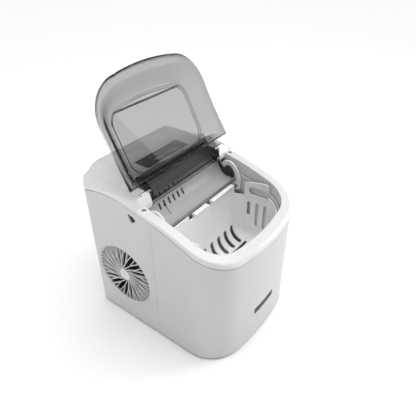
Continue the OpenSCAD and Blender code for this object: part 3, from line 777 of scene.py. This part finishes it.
def lid():
    corner = math.atan2(LID_REAR_Y - LID_CENTRE_Y, HALF_W - LID_INSET)
    angles = ring_angles([corner, math.pi - corner])
    obj = lid_bowl(angles)
    # Tongue behind the lid, between the pillars: top plate, end lip and two knuckle plates
    half = 79.8
    end_y = 38
    knuckle_wall = 2.6
    profile = [(-1, 259.6), (8, 260), (end_y - 2, 261), (end_y - 0.6, 260.6), (end_y, 259.6), (end_y, 255.2),
               (end_y - 0.7, 254.6), (end_y - 2.2, 255), (end_y - 2.6, 256), (end_y - 3.4, 258.2), (8, 257.4),
               (-1, 257)]
    tongue = extrude("tongue", profile, "x", -half, half)
    knuckle = [(LID_REAR_Y - 3, 258), (end_y - 1, 259), (end_y - 0.3, 255), (31, 247), (25, 244), (18, 243.2),
               (14.5, 244.5), (LID_REAR_Y - 1.8, 246.5), (LID_REAR_Y - 3, 249)]
    plates = [extrude("knuckle", knuckle, "x", *sorted((s * half, s * (half - knuckle_wall))))
              for s in (-1, 1)]
    combine(obj, [tongue] + plates, "UNION")
    rib = flat_outline_bar("rib", angles, 0, ((-0.6, -1.2), (0.6, -1.2), (0.6, -4.3), (-0.6, -4.3)))
    combine(obj, [rib], "UNION")
    combine(obj, [extrude("hole", circle(HINGE_Y, HINGE_Z, PIN_HOLE_R, 32), "x", -HALF_W, HALF_W)])
    soften(obj, 0.7, 2, 50)
    bake(obj)
    turn = (Matrix.Translation((0, HINGE_Y * MM, HINGE_Z * MM))
            @ Matrix.Rotation(math.radians(-LID_SWING), 4, "X")
            @ Matrix.Translation((0, -HINGE_Y * MM, -HINGE_Z * MM)))
    obj.data.transform(turn)
    finish_piece(obj, "smoked_clear", "lid", ["lid"], sharp=35)
    # Fine bead on the raised flat, just inside its outline, in opaque near-black: painted shade for the dark
    # line that the clear lid shows along the flat's edge
    section = ((-0.5, -0.5), (-0.35, 0.25), (0.35, 0.25), (0.5, -0.5))
    line = flat_outline_bar("lid_panel_bead", angles, 2, section)
    line.data.transform(turn)
    finish_piece(line, "lid_line", "lid")


# ---- Controls ----

def control_panel():
    z = PANEL_HIGH[2]
    obj = extrude("control_plate", box_outline(PANEL_LOW, PANEL_HIGH, (0, 1), 0, 2.5), "z", PANEL_LOW[2], z)
    cutters = [extrude("hole", box_outline(*box_mm(node), (0, 1), 0.4, 1.6), "z", z - 5, z + 5)
               for node in ("left_button", "right_button")]
    low, high = box_mm("indicator_lenses")
    lens_y = centre("indicator_lenses")[1]
    radius = (high[1] - low[1]) / 2
    pitch = (high[0] - low[0] - 2 * radius) / 4
    lens_x = [(i - 2) * pitch for i in range(5)]
    cutters += [extrude("hole", circle(x, lens_y, radius + 0.1, 32), "z", z - 5, z + 5) for x in lens_x]
    combine(obj, cutters)
    soften(obj, 0.25, 2)
    finish_piece(obj, "panel_dark", "casing", ["control_panel"])
    # Domed lenses
    dome = [(radius, z - 4), (radius, z - 0.35), (radius * 0.85, z), (radius * 0.5, z + 0.15), (0.2, z + 0.2)]
    lenses = [lathe_z("lens", x, lens_y, dome, 32) for x in lens_x]
    finish_piece(join(lenses), "lens", "casing", ["indicator_lenses"])


def button(node):
    """Key cap with a slightly dished top and a light printed outline."""
    low, high = box_mm(node)
    cx, cy, _ = centre(node)
    w, d = (high[0] - low[0]) / 2, (high[1] - low[1]) / 2
    z = high[2]

    def outline(inset, r):
        return rounded(cx - w + inset, cy - d + inset, cx + w - inset, cy + d - inset, r)

    levels = [(0, z - 4.2), (0, z - 0.9), (0.25, z - 0.35), (0.8, z - 0.05), (1.3, z), (2.4, z - 0.2)]
    cap = sweep(node + "_cap", [[(x, y, h) for x, y in outline(inset, 1.6)] for inset, h in levels])
    stem = extrude("stem", rounded(cx - 3, cy - 2.5, cx + 3, cy + 2.5, 0.4, 2), "z", low[2], z - 4)
    finish_piece(join([cap, stem]), "button_grey", node, [node])
    stations = [[(o[0], o[1], z - 0.3), (o[0], o[1], z + 0.1), (i[0], i[1], z + 0.05), (i[0], i[1], z - 0.3)]
                for o, i in zip(outline(1.0, 1.3), outline(1.9, 0.9))]
    finish_piece(sweep(node + "_outline", stations, closed=True), "print_light", node)


# ---- Basket and ice handling ----

def basket_tub(floor_z, half_w):
    """Lofted tub of the basket, with walls that lean and a rounded foot."""
    side = HALF_W - half_w + 2
    cy = -62.0
    waist_half, waist_y, taper = 80.4, -8, 9 / 42
    fillet = 14
    back_top = 196
    back_line = [(floor_z, -46), (floor_z + 1.5, -38), (floor_z + 5, -30.5), (floor_z + 12, -24.5),
                 (floor_z + 22, -21.4), (floor_z + 34, -19.6), (180, -12.4), (back_top, -10)]
    levels = [214, 194, 170, 140] + [floor_z + h for h in (34, 22, 16, 12, 8, 5, 3, 1.5, 0.5)] + [floor_z]
    angles = ring_angles([], 240)
    rings = []
    for z in levels:
        h = min(z - floor_z, fillet)
        inset = fillet - math.sqrt(max(fillet ** 2 - (fillet - h) ** 2, 0))
        back = height_at(back_line, z)
        if z >= back_top:
            back += (z - back_top) * 0.15
        waist = (waist_half - inset, waist_y, taper)
        ring = []
        for a in angles:
            r = plan_radius(side + inset, BEYOND_FRONT, back, a, cy, 9 if math.sin(a) > 0 else 0, waist)
            ring.append((r * math.cos(a), cy + r * math.sin(a), z))
        rings.append(ring)
    n = len(angles)
    verts = [p for ring in rings for p in ring]
    faces = [(i * n + j, (i + 1) * n + j, (i + 1) * n + (j + 1) % n, i * n + (j + 1) % n)
             for i in range(len(rings) - 1) for j in range(n)]
    faces.append(tuple((len(rings) - 1) * n + j for j in range(n)))
    obj = new_object("ice_basket_tub", verts, faces)
    # The floor faces up, so that the wall grows outwards from the inner surface
    bm = bmesh.new()
    bm.from_mesh(obj.data)
    bmesh.ops.recalc_face_normals(bm, faces=bm.faces)
    if max(bm.faces, key=lambda f: f.calc_area()).normal.z < 0:
        bmesh.ops.reverse_faces(bm, faces=bm.faces)
    bm.to_mesh(obj.data)
    bm.free()
    thicken(obj, 2)
    return obj


def basket_cutters(floor_z, half_w):
    """Upper edge, room for the shovel's bosses, notches, drain slots and finger holds."""
    top = [(BEYOND_FRONT, 181), (-97, 181.5), (-78, 187), (-75.5, 189), (-73.5, 207), (-71, 209.5),
           (-67, 210), (-30, 203), (-20, 202), (-17.5, 200), (-16.5, 195), (-15, 194), (12, 194), (12, 240),
           (BEYOND_FRONT, 240)]
    cutters = [extrude("top", top, "x", -HALF_W, HALF_W)]
    for s in (-1, 1):
        cutters.append(extrude("room", rounded(-32, 178, 10, 230, 5), "x", *sorted((s * SLOT_HALF, s * 98))))
    for x in (-29, 15):
        cutters.append(extrude("notch", rounded(x - 4.5, 187, x + 4.5, 200, 1.2), "y", -25, 5))
    slot_r, slot_pitch = 3.9, 19.2
    for i in range(8):
        x = (i - 3.5) * slot_pitch
        cutters.append(extrude("slot", rounded(x - 4, floor_z - 8, x + 4, floor_z + 26, slot_r), "y", -34, 0))
        outline = rounded(x - 4, -42, x + 4, -10, slot_r)
        cutters.append(extrude("slot", outline, "z", floor_z - 6, floor_z + 8))
    for x0, x1 in ((-88 + 14, -24), (24, 74)):
        cutters.append(extrude("slot", rounded(x0, -51, x1, -46, 2.4), "z", floor_z - 6, floor_z + 6))
    for s in (-1, 1):
        x_range = sorted((s * (half_w - 14), s * (half_w + 6)))
        for y, z0 in ((-41, 141), (-56, 122), (-71, 121)):
            cutters.append(extrude("slot", rounded(y - 3, z0, y + 3, 168, 2.9), "x", *x_range))
        cutters.append(extrude("hold", rounded(-75, 183, -39, 197, 6.9), "x", *x_range))
    return cutters


def basket():
    low, high = box_mm("ice_basket")
    floor_z = low[2] + 2
    obj = basket_tub(floor_z, high[0])
    combine(obj, basket_cutters(floor_z, high[0]))
    # Flange along the rear edge, between the notches
    section = [(-15.5, 191.9), (-10.5, 191.9), (-9.4, 192.6), (-9.0, 194.3), (-15, 194.3), (-15.6, 193.8)]
    flanges = [extrude("flange", section, "x", x0, x1) for x0, x1 in ((-80, -34), (-24, 10), (20, 80))]
    combine(obj, flanges, "UNION")
    soften(obj, 0.35, 2, 60)
    finish_piece(obj, "basket_plastic", "ice_basket", ["ice_basket"], sharp=50)


def comb_slits(z0, z1, y0, y1):
    """Cutters for the row of narrow slits on the left half."""
    pitch, half = 10.3, 1.6
    return [extrude("slit", rounded(i * pitch - half, z0, i * pitch + half, z1, 1.4, 3), "y", y0, y1)
            for i in range(-6, 0)]


def spline_at(route, t):
    """Point and direction at t on a smooth curve through the route's points."""
    i = min(int(t), len(route) - 2)
    u = t - i
    p = [route[max(i - 1, 0)], route[i], route[i + 1], route[min(i + 2, len(route) - 1)]]
    point = [0.5 * (2 * p[1][c] + (p[2][c] - p[0][c]) * u
                    + (2 * p[0][c] - 5 * p[1][c] + 4 * p[2][c] - p[3][c]) * u * u
                    + (3 * p[1][c] - p[0][c] - 3 * p[2][c] + p[3][c]) * u ** 3) for c in (0, 1)]
    return point, [p[2][c] - p[0][c] for c in (0, 1)]


def shovel_arm(s, name):
    """Curved arm with a rounded section, from the plate's side down to the boss."""
    route = [(14, 219), (9, 224.5), (2, 227), (-5, 224.5), (-11.5, 217), (-16.2, 207.5), (-18.2, 198),
             (-17, 191)]
    arm_x, steps = 88.8, 32
    stations = []
    for k in range(steps + 1):
        point, slope = spline_at(route, k / steps * (len(route) - 1))
        size = math.hypot(*slope)
        ny, nz = -slope[1] / size, slope[0] / size
        stations.append([(s * (arm_x + px), point[0] + ny * pw, point[1] + nz * pw)
                         for px, pw in rounded(-1.9, -4.2, 1.9, 4.2, 1.6, 4)])
    arm = sweep("ice_shovel_arm_" + name, stations)
    ring = extrude("boss", circle(SHOVEL_Y, SHOVEL_Z, 7.6), "x", *sorted((s * 86.6, s * 90.9)))
    combine(arm, [ring], "UNION")
    combine(arm, [extrude("bore", circle(SHOVEL_Y, SHOVEL_Z, PIN_HOLE_R, 32), "x", -HALF_W, HALF_W)])
    soften(arm, 0.5, 2, 50)
    finish_piece(arm, "arm_plastic", "ice_shovel", sharp=45)


def shovel():
    cy, cz = -6, 229
    half = 86.3
    front = arc_points(cy, cz, 29.2, -8, -90, 28)
    lip = [(-5.4, 196), (-5.4, 185), (-4.6, 184), (-3.2, 184), (-3.2, 197.4)]
    back = arc_points(cy, cz, 31.5, -84, -8, 28)
    plate = extrude("ice_shovel_plate", front + lip + back, "x", -half, half)
    combine(plate, comb_slits(211, 221.4, 8, 40))
    # Shallow groove that runs down the plate
    groove = arc_points(cy, cz, 30.6, -62, -28, 12) + arc_points(cy, cz, 28.4, -28, -62, 12)
    combine(plate, [extrude("groove", groove, "x", -59, -51)])
    soften(plate, 0.5, 2, 50)
    # The plate's dark grey is painted shade, standing in for the shade inside the machine
    finish_piece(plate, "inner_plastic", "ice_shovel", ["ice_shovel"], sharp=45)
    shovel_arm(-1, "left")
    shovel_arm(1, "right")


def evaporator_cover():
    """Curved cover behind the shovel, round the swing of the lid's tongue."""
    half, bend_z = 79.5, 226
    near = arc_points(HINGE_Y, HINGE_Z, 19.3, -68, -4, 18)
    far = arc_points(HINGE_Y, HINGE_Z, 21.3, -8, -66, 16)
    low = box_mm("evaporator_cover")[0][2]
    end_y = HOOD_Y - 0.4
    outline = [(28.8, low), (26.8, low), (27.4, bend_z)] + near
    outline += [(end_y, HINGE_Z - 1), (end_y, HINGE_Z - 3)] + far + [(29.4, bend_z)]
    obj = extrude("evaporator_cover_skin", outline, "x", -half, half)
    combine(obj, comb_slits(225.5, 232.5, 20, 36))
    soften(obj, 0.4, 2, 50)
    # The cover's dark grey is painted shade, as it sits in shade under the lid's tongue
    finish_piece(obj, "inner_plastic", "casing", ["evaporator_cover"], sharp=45)


# ---- Fan grille ----

def vane(radius0, radius1, angle, bend):
    """Thin curved blade between two radii on the grille."""
    depth, thick, lean = 3.6, 1.1, 0.3
    section = ((0.25, -thick / 2), (0, -thick / 4), (0, thick / 4), (0.25, thick / 2),
               (depth, thick / 2 + lean), (depth, -thick / 2 + lean))
    stations = []
    steps = 8
    for k in range(steps + 1):
        t = k / steps
        r = radius0 + (radius1 - radius0) * t
        a = angle + bend * math.sin(t * math.pi / 2)
        cy, cz = FAN_Y + r * math.cos(a), FAN_Z + r * math.sin(a)
        slope = math.atan2(r * bend * math.cos(t * math.pi / 2) * math.pi / 2, radius1 - radius0)
        ty, tz = -math.sin(a + slope), math.cos(a + slope)
        stations.append([(-HALF_W + 0.5 + px, cy + ty * pw, cz + tz * pw) for px, pw in section])
    return sweep("vane", stations)


def grille():
    """Round grille: inner vanes that each fork into two outer ones."""
    x = -HALF_W
    hub_r, fork_r, rim_r = 10.5, 29, GRILLE_R - 1
    count, bend, outer_bend = 20, 0.5, 0.12
    rim = [(x + 0.6, GRILLE_R), (x + 0.15, GRILLE_R - 0.3), (x, GRILLE_R - 0.7), (x, GRILLE_R - 1.2),
           (x + 0.5, GRILLE_R - 1.8), (x + 4, GRILLE_R - 1.8), (x + 4, GRILLE_R)]
    hub = [(x + 4, 0.01), (x + 4, hub_r), (x + 1.2, hub_r), (x + 0.5, hub_r - 0.5), (x + 0.3, hub_r - 1.6),
           (x + 0.3, 2.6), (x + 0.9, 2.0), (x + 0.9, 0.01)]
    parts = [revolve_x("fan_grille_skin", rim, FAN_Y, FAN_Z, 128), revolve_x("hub", hub, FAN_Y, FAN_Z, 64)]
    pitch = math.tau / count
    for i in range(count):
        a = i * pitch
        parts.append(vane(hub_r - 0.8, fork_r, a, bend))
        for side in (-1, 1):
            parts.append(vane(fork_r - 1, rim_r, a + bend, outer_bend + side * pitch / 4))
    finish_piece(join(parts), "grille_plastic", "casing", ["fan_grille"], sharp=40)


# ---- Small outer pieces ----

def nameplate():
    """Plain dark badge that follows the bowed front."""
    stations = []
    half = PLATE_HIGH[0]
    end_r, front, back = 1.8, 0.35, 1.5
    for k in range(25):
        x = -half + 2 * half * k / 24
        y = BOW_Y - math.sqrt(BOW_R ** 2 - x * x)
        end = min(half - abs(x), end_r)
        trim = end_r - math.sqrt(max(end_r ** 2 - (end_r - end) ** 2, 0))
        low, high = PLATE_LOW[2] + trim, PLATE_HIGH[2] - trim
        stations.append([(x, y + back, low), (x, y + 0.6, low), (x, y + front, low + 0.4),
                         (x, y + front, high - 0.4), (x, y + 0.6, high), (x, y + back, high)])
    finish_piece(sweep("nameplate_badge", stations), "badge_dark", "casing", ["nameplate"])


def screw(name, centre_point, axis, radius, height, length, shank):
    """Domed cross-head screw."""
    cx, cy, cz = centre_point

    def place(u, v, w):
        return (cx + u, cy + v, cz + w) if axis == "z" else (cx + u, cy + w, cz + v)

    profile = [(shank, -length), (shank, 0), (radius, 0), (radius, height * 0.35),
               (radius * 0.85, height * 0.75), (radius * 0.5, height * 0.95), (0.05, height)]
    obj = sweep(name, [[place(u, v, h) for u, v in circle(0, 0, r, 32)] for r, h in profile])
    cross = []
    for w, d in ((radius * 0.62, radius * 0.13), (radius * 0.13, radius * 0.62)):
        corners = [(-w, -d), (w, -d), (w, d), (-w, d)]
        cross.append(sweep("cross", [[place(u, v, h) for u, v in corners]
                                     for h in (height * 0.3, height * 1.4)]))
    return combine(obj, cross)


def screws():
    low, high = box_mm("rim_screws")
    height = 1.4
    y, z = centre("rim_screws")[1], high[2] - height
    heads = [screw("rim_screw_heads", (x, y, z), "z", RIM_SCREW_R, height, z - low[2], 1.5)
             for x in side_x("rim_screws", RIM_SCREW_R)]
    finish_piece(join(heads), "steel", "casing", ["rim_screws"])
    low, high = box_mm("housing_screws")
    height = 1.9
    y = high[1] - height
    heads = [screw("housing_screw_heads", (x, y, z), "y", HOUSING_SCREW_R, height, y - low[1], 1.75)
             for x, z in corner_centres("housing_screws", 2, HOUSING_SCREW_R)]
    finish_piece(join(heads), "steel", "casing", ["housing_screws"])


def feet():
    """Rubber feet with a rounded edge and a recessed screw hole."""
    profile = [(FOOT_R, 4), (FOOT_R, 2.4), (8.7, 1.0), (8.2, 0.3), (7.4, 0), (3.2, 0), (2.4, 0.3), (2.2, 0.8),
               (2.2, 2.2)]
    parts = [lathe_z("rubber_feet", x, y, profile, 40) for x, y in corner_centres("feet", 1, FOOT_R)]
    finish_piece(join(parts), "rubber", "casing", ["feet"])


# ---- Everything on the object ----

front_shell()
rear_housing()
top_cover()
lid()
control_panel()
for key in ("left_button", "right_button"):
    button(key)
basket()
shovel()
evaporator_cover()
grille()
nameplate()
screws()
feet()

# CAD nodes that stay as they are get the material of their slot
for node_name, node in frame["nodes"].items():
    node.data.materials.clear()
    node.data.materials.append(MATERIALS["fan_plastic" if node_name == "fan_shroud" else SLOT_OF[node_name]])

# ---- Stage, camera and light ----

def stage():
    bpy.ops.mesh.primitive_plane_add(size=12, location=(0, 0, 0))
    floor = bpy.context.object
    floor.name = "floor"
    mat = material("floor_white", (0.95, 0.95, 0.95), 0.7, bump=0.02, vary=0.004)
    floor.data.materials.append(mat)


def camera():
    """Stands in front of the left corner and looks down, as in the photo."""
    data = bpy.data.cameras.new("camera")
    data.lens = 36.6
    data.sensor_width = 36
    obj = bpy.data.objects.new("camera", data)
    obj.location = (-0.4221, -0.3344, 0.5705)
    obj.rotation_euler = (math.radians(54.526), 0, math.radians(-53.371))
    bpy.context.scene.collection.objects.link(obj)
    bpy.context.scene.camera = obj


def area_light(name, place, target, size, power):
    data = bpy.data.lights.new(name, "AREA")
    data.shape = "RECTANGLE"
    data.size, data.size_y = size
    data.energy = power
    obj = bpy.data.objects.new(name, data)
    obj.location = place
    obj.rotation_euler = (Vector(target) - Vector(place)).to_track_quat("-Z", "Y").to_euler()
    bpy.context.scene.collection.objects.link(obj)


def lights():
    world = bpy.data.worlds.new("studio")
    world.use_nodes = True
    world.node_tree.nodes["Background"].inputs["Color"].default_value = (1, 1, 1, 1)
    world.node_tree.nodes["Background"].inputs["Strength"].default_value = 0.3
    bpy.context.scene.world = world
    data = bpy.data.lights.new("overhead", "SUN")
    data.energy = 2.4
    data.angle = math.radians(70)
    overhead = bpy.data.objects.new("overhead", data)
    overhead.rotation_euler = (math.radians(8), math.radians(6), 0)
    bpy.context.scene.collection.objects.link(overhead)
    area_light("front_right", (1.1, -0.9, 0.5), (0, -0.05, 0.14), (0.5, 0.9), 9)
    area_light("left_rear", (-1.1, 0.8, 0.5), (0, 0.05, 0.14), (0.5, 0.9), 4)


stage()
camera()
lights()
bpy.context.scene.view_settings.view_transform = "Standard"
